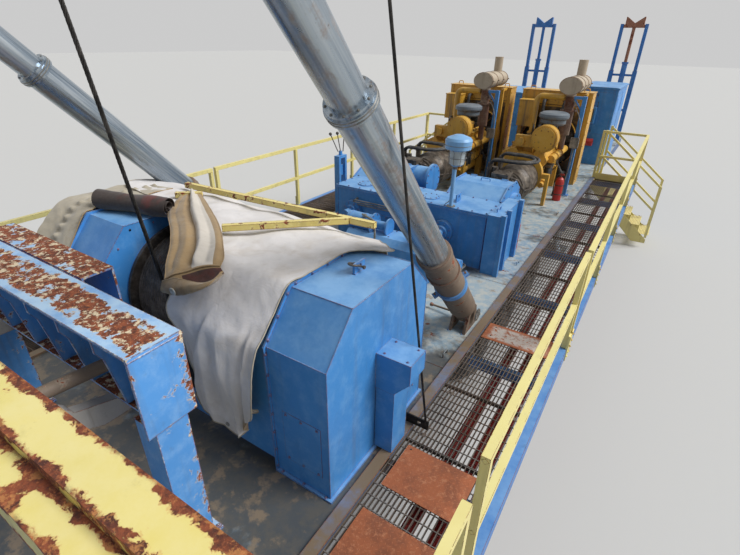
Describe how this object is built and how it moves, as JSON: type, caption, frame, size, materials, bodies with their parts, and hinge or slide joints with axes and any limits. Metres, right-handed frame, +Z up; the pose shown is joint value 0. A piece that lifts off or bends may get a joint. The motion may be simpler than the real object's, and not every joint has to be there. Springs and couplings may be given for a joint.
{
  "type": "trailer-mounted oil drilling rig",
  "caption": "Trailer-mounted drilling rig with raised lattice mast, raising cylinders, drawworks, engines, deck, walkways and stairs.",
  "frame": {"origin": "on the ground, at the middle of the rig's length and width", "axes": "+X to the side with the fire extinguishers, +Y from the mast to the towing end, +Z up"},
  "size_m": [6.38, 19.15, 20.03],
  "materials": {
    "frame_blue": "chalky blue paint with rust",
    "machine_blue": "blue paint, worn",
    "deck_paint": "pale blue-grey paint, walked on",
    "rail_yellow": "faded yellow paint, rust at the joints",
    "engine_yellow": "golden yellow paint, oily",
    "grating_steel": "dirty bare steel",
    "rust_plate": "orange rust",
    "chrome_rod": "weathered chrome",
    "barrel_brown": "rusty brown paint",
    "canvas": "creased canvas",
    "dark_steel": "dark oily iron",
    "grey_metal": "grey, grimy",
    "air_filter": "dark grey paint",
    "muffler_metal": "heat-aged aluminium paint",
    "core_black": "matt black fins",
    "hose_rubber": "black hydraulic hose",
    "tyre_rubber": "worn",
    "rope_wire": "greased wire rope",
    "red_paint": "gloss",
    "rust_rail": "rusted"
  },
  "bodies": {
    "rig": {"main_frame": "frame_blue", "deck_plate": "deck_paint", "running_gear": "dark_steel", "tyres": "tyre_rubber", "jack_barrels": "frame_blue", "jack_feet": "chrome_rod", "walkway_frames": "frame_blue", "walkway_gratings": "grating_steel", "checker_plates": "rust_plate", "service_pipes": "red_paint", "handrails": "rail_yellow", "end_guards": "rail_yellow", "stairs": "rail_yellow", "drawworks_skid": "machine_blue", "right_chain_housing": "machine_blue", "left_chain_housing": "machine_blue", "side_box": "machine_blue", "brake_guards": "machine_blue", "canvas_cover": "canvas", "cover_rails": "rail_yellow", "compound_case": "machine_blue", "drive_hoods": "machine_blue", "pump_drive": "machine_blue", "lever_column": "machine_blue", "transmissions": "grey_metal", "power_hoses": "hose_rubber", "engine_blocks": "engine_yellow", "engine_tops": "engine_yellow", "air_cleaners": "air_filter", "mufflers": "muffler_metal", "radiator_frames": "engine_yellow", "radiator_cores": "core_black", "front_cabinets": "machine_blue", "mast_rest_posts": "frame_blue", "cylinder_barrels": "barrel_brown", "lower_stages": "chrome_rod", "upper_stages": "chrome_rod", "rear_cross_beams": "frame_blue", "mast_lugs": "grey_metal", "rear_guard_beam": "rail_yellow", "ground_sill": "frame_blue", "base_cross_beam": "frame_blue", "mast_base": "frame_blue", "right_mast_side": "frame_blue", "left_mast_side": "frame_blue", "mast_bracing": "frame_blue", "crown_frame": "frame_blue", "crown_sheaves": "dark_steel", "wire_ropes": "rope_wire", "service_line": "rope_wire", "travelling_block": "engine_yellow", "lamps": "machine_blue", "extinguishers": "red_paint"},
    "drum": {"drum": "dark_steel"},
    "right_saddle": {"right_saddle": "rust_rail"},
    "left_saddle": {"left_saddle": "frame_blue"}
  },
  "joints": [
    {"name": "drum_spin", "type": "hinge", "parent": "rig", "child": "drum", "pos_m": [0, -5.825, 2.17], "axis": [1, 0, 0], "continuous": true},
    {"name": "right_saddle_slide", "type": "slide", "parent": "rig", "child": "right_saddle", "axis": [0, 0, 1], "range_m": [-0.9, 0]},
    {"name": "left_saddle_slide", "type": "slide", "parent": "rig", "child": "left_saddle", "axis": [0, 0, 1], "range_m": [-0.9, 0]}
  ]
}
